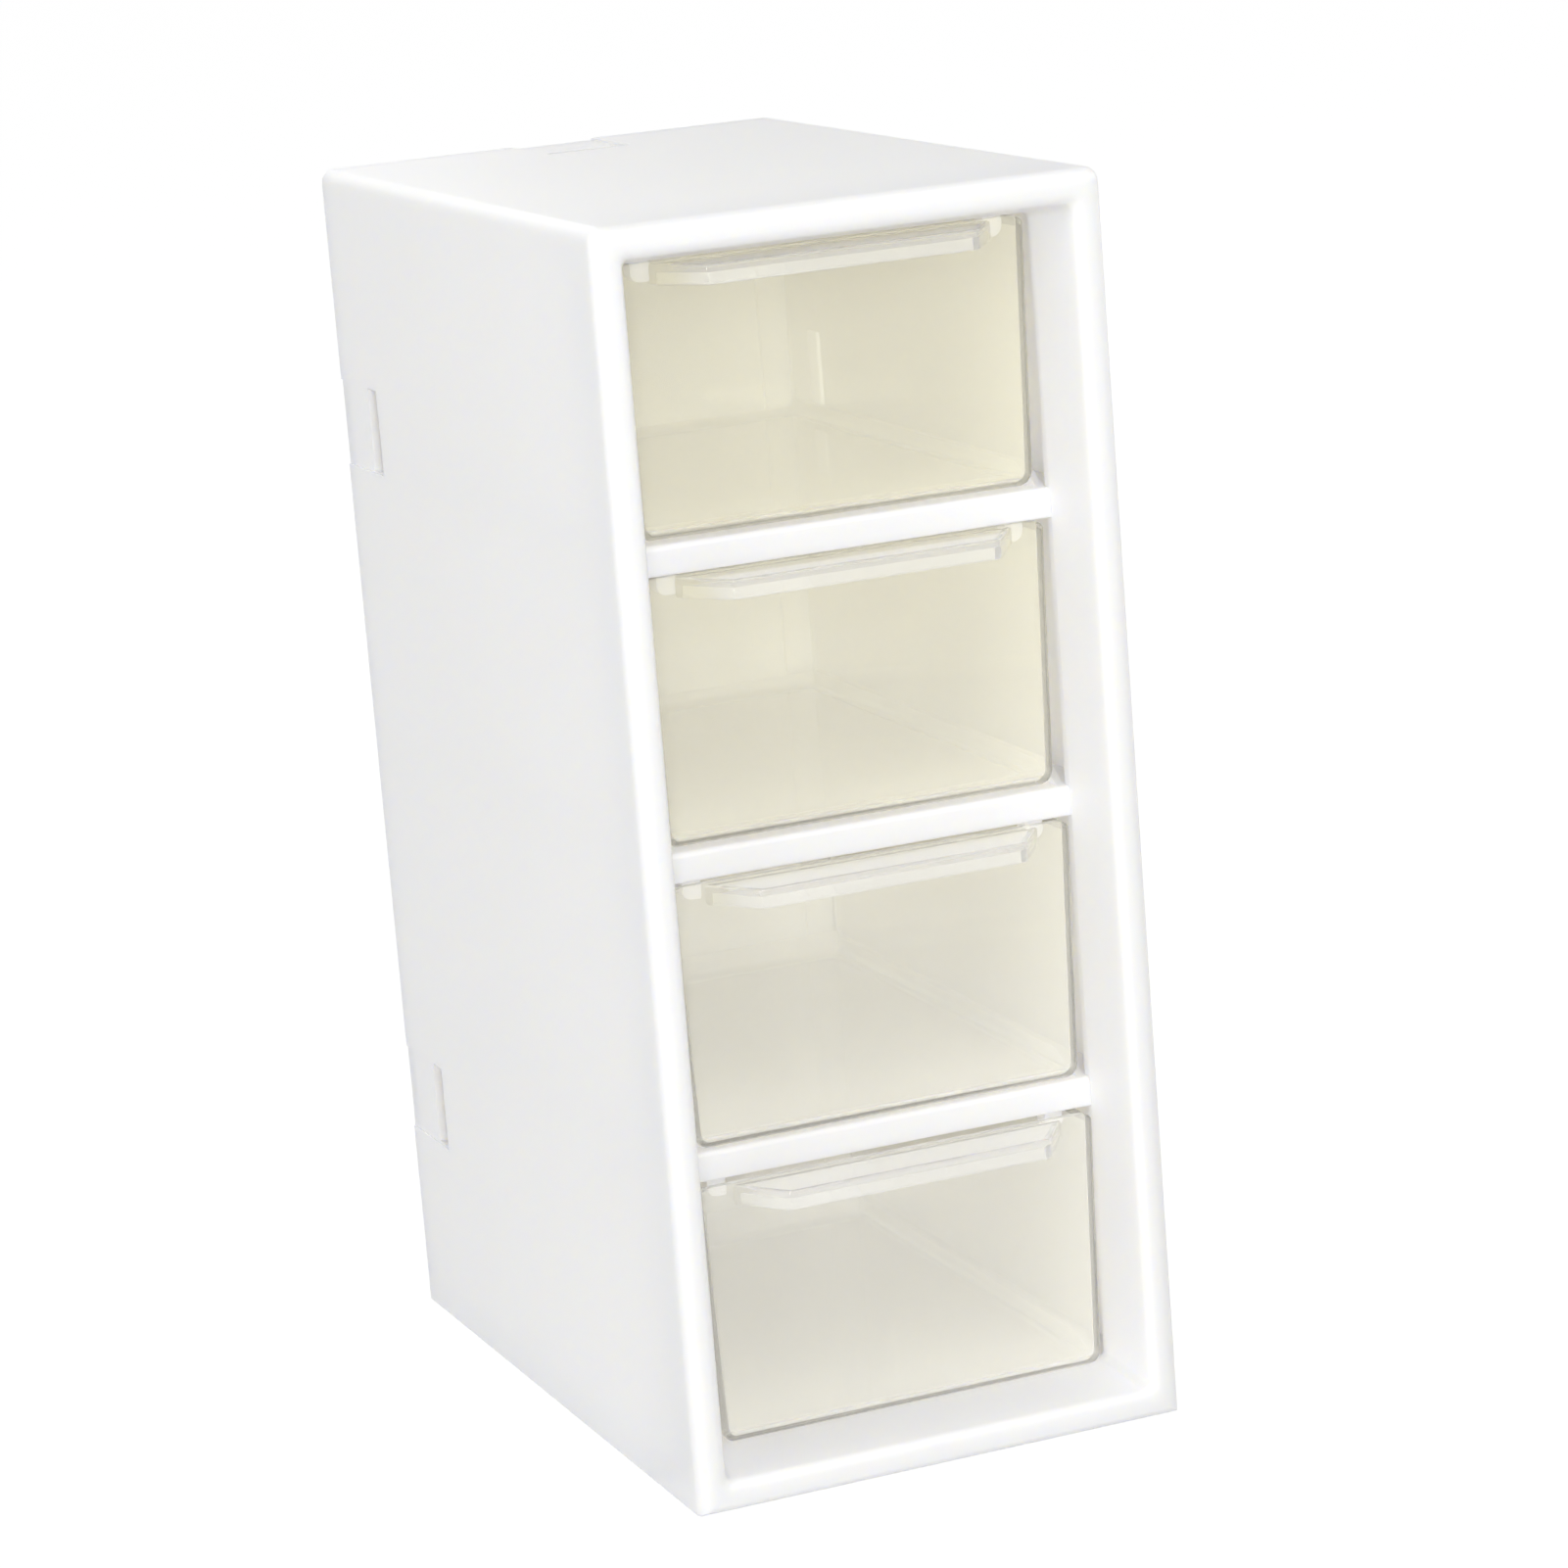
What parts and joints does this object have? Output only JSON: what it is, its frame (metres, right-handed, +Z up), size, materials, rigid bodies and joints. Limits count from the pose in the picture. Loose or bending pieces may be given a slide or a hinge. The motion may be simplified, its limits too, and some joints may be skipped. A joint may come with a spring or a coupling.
{
  "type": "desktop mini drawers",
  "caption": "Small upright desktop cabinet in white plastic with clear pull-out drawers for craft supplies and small parts.",
  "frame": {"origin": "middle of the cabinet's footprint, on the surface it stands on", "axes": "+Z up, -Y towards the front, where the drawers open, +X to the right as seen from the front"},
  "size_m": [0.0914, 0.142, 0.22],
  "materials": {
    "white_plastic": "smooth glossy white",
    "white_panel": "smooth satin white",
    "clear_plastic": "water-clear, faintly warm, polished"
  },
  "bodies": {
    "cabinet": {"cabinet": "white_plastic", "back_panel": "white_panel"},
    "drawer_1": {"drawer_1": "clear_plastic"},
    "drawer_2": {"drawer_2": "clear_plastic"},
    "drawer_3": {"drawer_3": "clear_plastic"},
    "drawer_4": {"drawer_4": "clear_plastic"}
  },
  "joints": [
    {"name": "drawer_1_slide", "type": "slide", "parent": "cabinet", "child": "drawer_1", "axis": [0, -1, 0], "range_m": [0, 0.1]},
    {"name": "drawer_2_slide", "type": "slide", "parent": "cabinet", "child": "drawer_2", "axis": [0, -1, 0], "range_m": [0, 0.1]},
    {"name": "drawer_3_slide", "type": "slide", "parent": "cabinet", "child": "drawer_3", "axis": [0, -1, 0], "range_m": [-0.002, 0.098]},
    {"name": "drawer_4_slide", "type": "slide", "parent": "cabinet", "child": "drawer_4", "axis": [0, -1, 0], "range_m": [-0.0034, 0.0966]}
  ]
}
